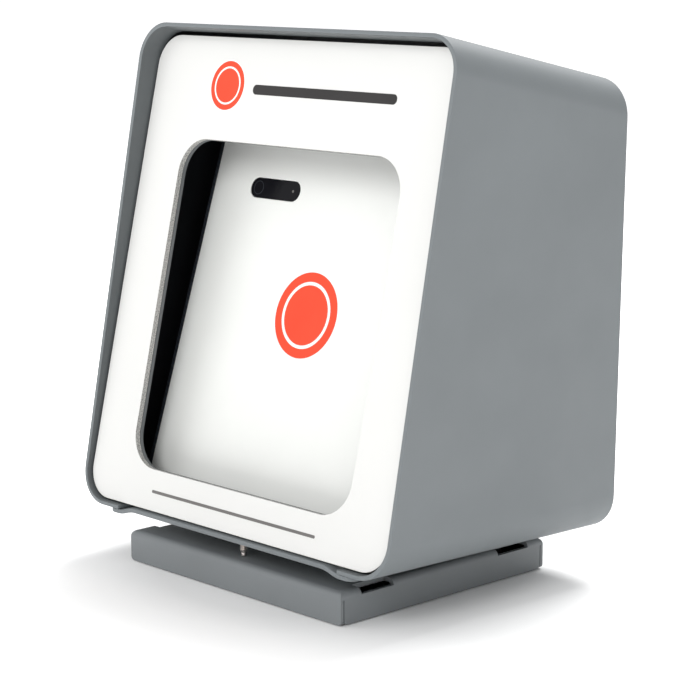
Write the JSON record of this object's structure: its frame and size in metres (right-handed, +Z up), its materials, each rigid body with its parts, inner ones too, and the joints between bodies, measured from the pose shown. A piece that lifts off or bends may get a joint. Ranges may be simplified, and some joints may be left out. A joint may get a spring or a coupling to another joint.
{
  "type": "launch monitor",
  "caption": "Square golf radar launch monitor leaning back in a cradle, inside a folded-metal protective case with a front window, on a low base with a tilt screw.",
  "frame": {"origin": "on the ground, under the middle of the bounding box at rest", "axes": "+Z up; the window and the unit's face look along -Y; +X is the right-hand side seen from the front"},
  "size_m": [0.296, 0.216, 0.3574],
  "materials": {
    "case_grey": "satin powder coat",
    "fascia_white": "satin white",
    "frame_grey": "satin powder coat",
    "face_white": "smooth satin",
    "shell_dark": "fine moulded texture",
    "lens_glass": "polished black glass",
    "steel": "machined",
    "brass": "turned",
    "rubber_black": "matt rubber",
    "foam_black": "closed-cell foam",
    "board_green": "solder mask",
    "cell_blue": "heat-shrink wrap",
    "button_grey": "soft-touch"
  },
  "bodies": {
    "base": {"base_tray": "case_grey", "foot_front_left": "rubber_black", "foot_front_right": "rubber_black", "foot_rear_left": "rubber_black", "foot_rear_right": "rubber_black", "hinge_leaf_lower": "steel", "hinge_pin": "steel", "hinge_rivet_lower_left": "steel", "hinge_rivet_lower_right": "steel"},
    "case": {"case_wrap": "case_grey", "case_floor": "case_grey", "hinge_leaf_upper": "steel", "hinge_rivet_upper_left": "steel", "hinge_rivet_upper_right": "steel", "tilt_nut": "steel", "fascia_panel": "fascia_white", "fascia_frame": "frame_grey", "cradle": "case_grey", "cradle_gusset_left": "case_grey", "cradle_gusset_right": "case_grey", "ledge_pad": "foam_black", "back_pad_left": "foam_black", "back_pad_right": "foam_black", "side_foam_left": "foam_black", "side_foam_right": "foam_black", "door_hinge_lower": "steel", "door_hinge_upper": "steel", "door_pin_lower": "steel", "door_pin_upper": "steel", "latch_keeper": "steel"},
    "screw_tip": {"screw_tip": "brass"},
    "tilt_screw": {"tilt_screw": "steel"},
    "door": {"rear_door": "case_grey"},
    "latch": {"latch_knob": "steel", "latch_cam": "steel", "latch_nut": "steel"},
    "unit": {"face_panel": "face_white", "camera_window": "lens_glass", "middle_frame": "shell_dark", "rear_shell": "shell_dark", "shell_gasket": "rubber_black", "shell_screw_lower_left": "steel", "shell_screw_lower_right": "steel", "shell_screw_upper_left": "steel", "shell_screw_upper_right": "steel", "camera_lens": "lens_glass", "status_light": "face_white", "camera_board": "board_green", "antenna_board": "board_green", "main_board": "board_green", "shield_can": "steel", "battery_pack": "cell_blue", "power_switch": "button_grey", "charge_port": "steel", "tripod_insert": "brass", "kickstand_pin": "steel"},
    "kickstand": {"kickstand": "shell_dark"},
    "power_button": {"power_button": "button_grey"}
  },
  "joints": [
    {"name": "case_tilt", "type": "hinge", "parent": "base", "child": "case", "pos_m": [0, 0.0676, 0.0253], "axis": [-1, 0, 0], "range_deg": [-1.18, 6]},
    {"name": "screw_travel", "type": "slide", "parent": "case", "child": "screw_tip", "axis": [0, -0.0206, -0.9998], "range_m": [-0.0034, 0.0166]},
    {"name": "screw_turn", "type": "hinge", "parent": "screw_tip", "child": "tilt_screw", "pos_m": [0, -0.0892, 0.0216], "axis": [0, -0.0206, -0.9998], "range_deg": [-1458, 7389]},
    {"name": "door_swing", "type": "hinge", "parent": "case", "child": "door", "pos_m": [-0.1385, 0.0995, 0.17981], "axis": [0, 0.0206, 0.9998], "range_deg": [0, 90]},
    {"name": "latch_turn", "type": "hinge", "parent": "door", "child": "latch", "pos_m": [0.124, 0.1, 0.1798], "axis": [0, 0.9998, -0.0206], "range_deg": [0, 90]},
    {"name": "unit_lift", "type": "slide", "parent": "case", "child": "unit", "axis": [0, 0.3049, 0.9524], "range_m": [0, 0.045]},
    {"name": "kickstand_fold", "type": "hinge", "parent": "unit", "child": "kickstand", "pos_m": [0, 0.0458, 0.23218], "axis": [1, 0, 0], "range_deg": [0, 35]},
    {"name": "button_press", "type": "slide", "parent": "unit", "child": "power_button", "axis": [0, -0.3049, -0.9524], "range_m": [0, 0.001], "stiffness_N_per_m": 800}
  ],
  "couplings": [
    {"joint": "screw_travel", "follows": "case_tilt", "m_per_rad": 0.15669},
    {"joint": "screw_turn", "follows": "case_tilt", "ratio": 1230.6}
  ]
}
